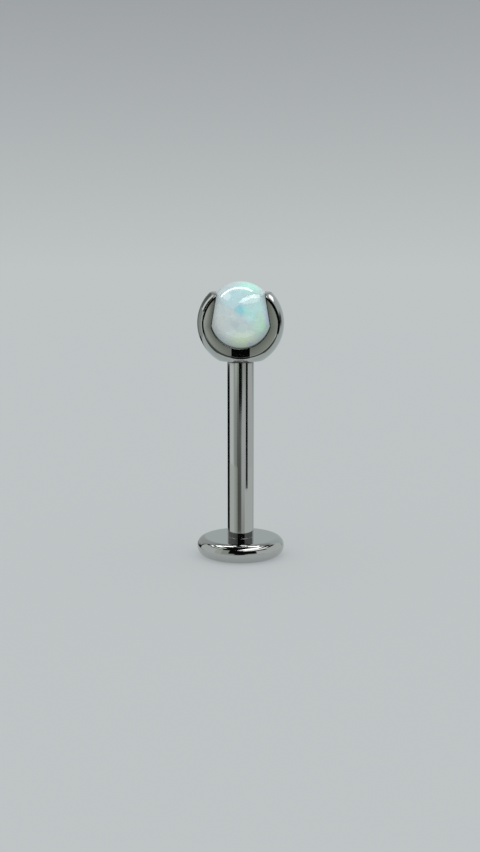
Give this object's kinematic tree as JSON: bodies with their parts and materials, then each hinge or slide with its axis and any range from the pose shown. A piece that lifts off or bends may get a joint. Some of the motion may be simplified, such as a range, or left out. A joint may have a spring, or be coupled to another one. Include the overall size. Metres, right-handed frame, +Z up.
{
  "type": "labret stud",
  "caption": "Straight labret stud: a pebble-edged disc on a plain post, and a two-claw ball head that holds a round white opal.",
  "frame": {"origin": "middle of the disc's flat underside, on the post's axis", "axes": "+Z runs up the post from the disc to the head; -Y is the front, where the window between the claws shows the opal; the claws stand at +X and -X"},
  "size_m": [0.004, 0.004, 0.0125],
  "materials": {
    "disc_post_metal": "titanium, turned and mirror polished",
    "pin_metal": "titanium wire, as drawn",
    "claw_head_metal": "titanium, milled and mirror polished",
    "opal": "white opal, polished ball"
  },
  "bodies": {
    "root": {"disc_post": "disc_post_metal", "head_pin": "pin_metal", "claw_head": "claw_head_metal", "opal_ball": "opal"}
  },
  "joints": []
}
